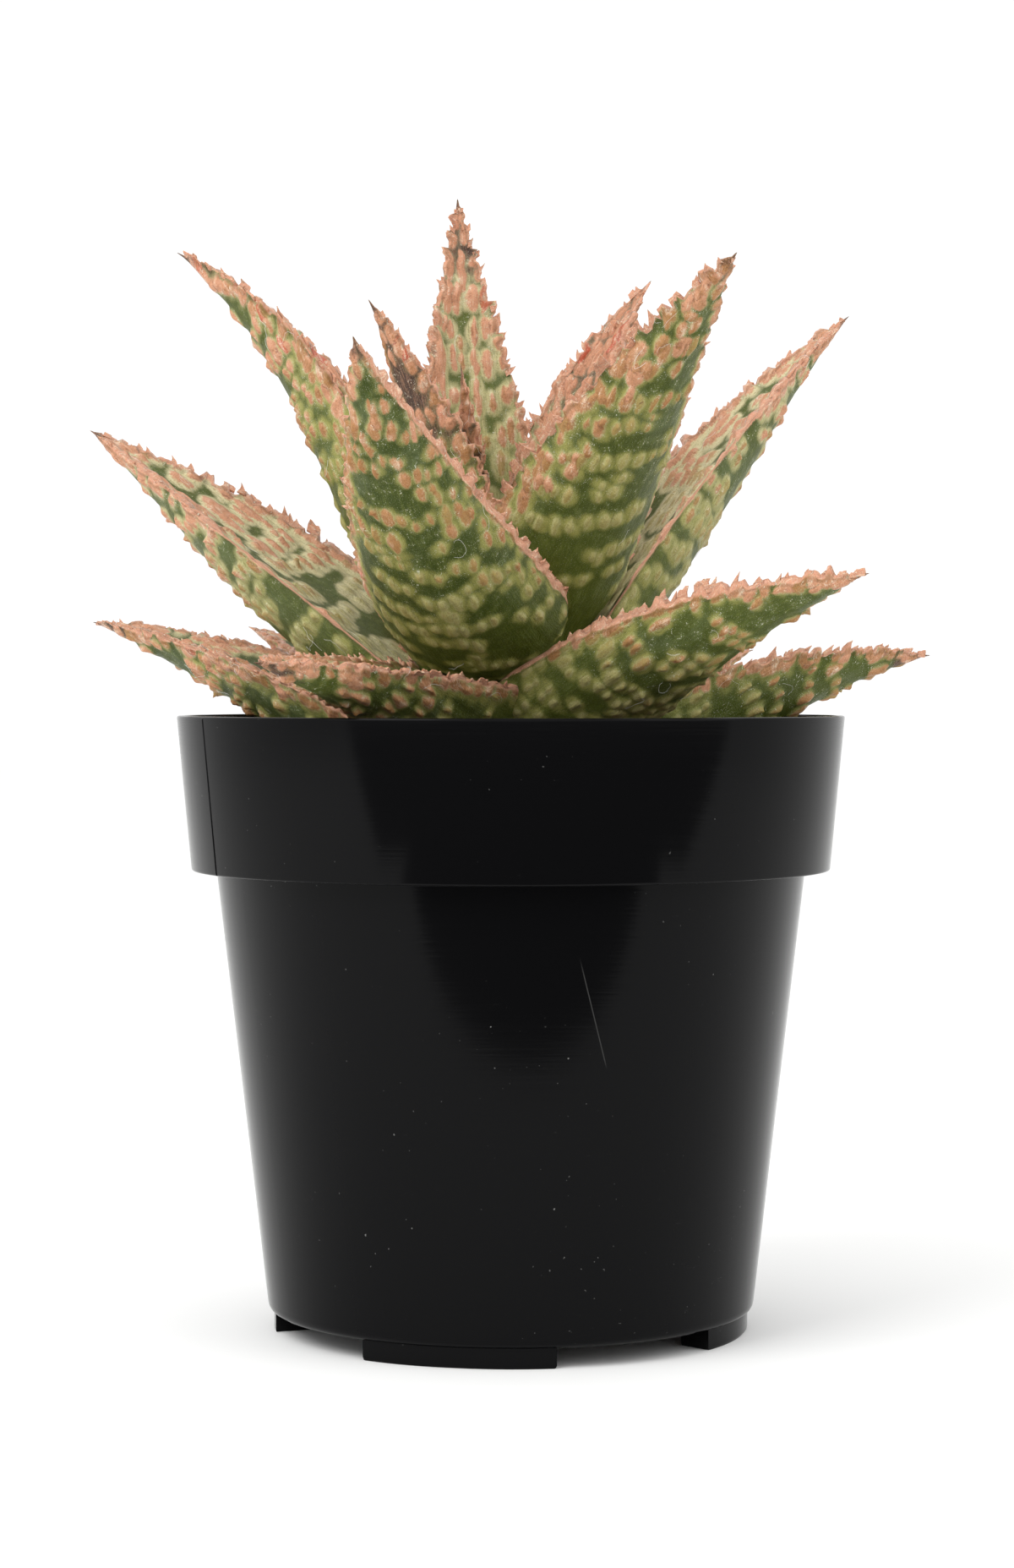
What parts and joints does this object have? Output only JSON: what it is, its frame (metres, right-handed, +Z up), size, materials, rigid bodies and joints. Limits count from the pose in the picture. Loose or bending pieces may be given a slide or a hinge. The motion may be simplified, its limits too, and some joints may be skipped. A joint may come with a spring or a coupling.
{
  "type": "potted firecracker aloe",
  "caption": "Small aloe in a plain tapered nursery pot: a rosette of thick pointed leaves with toothed edges and raised warts, rooted in soil.",
  "frame": {"origin": "centre of the pot's footprint, on the surface that its feet stand on", "axes": "+Z up along the pot's axis, -Y towards the side that the picture shows, +X to the right of that view"},
  "size_m": [0.1388, 0.126, 0.1802],
  "materials": {
    "pot": "black, smooth and glossy, with fine dust and faint rubbing marks",
    "soil": "loose dark peat with bark and pale grit",
    "stem": "pale green plant tissue, matt",
    "leaf": "waxy green skin with cream and salmon warts and pink toothed edges"
  },
  "bodies": {
    "root": {"pot": "pot", "soil": "soil", "stem": "stem", "leaf_01": "leaf", "leaf_02": "leaf", "leaf_03": "leaf", "leaf_04": "leaf", "leaf_05": "leaf", "leaf_06": "leaf", "leaf_07": "leaf", "leaf_08": "leaf", "leaf_09": "leaf", "leaf_10": "leaf", "leaf_11": "leaf", "leaf_12": "leaf", "leaf_13": "leaf", "leaf_14": "leaf", "leaf_15": "leaf", "leaf_16": "leaf", "leaf_17": "leaf", "leaf_18": "leaf", "leaf_19": "leaf", "leaf_20": "leaf", "leaf_21": "leaf", "leaf_22": "leaf"}
  },
  "joints": []
}
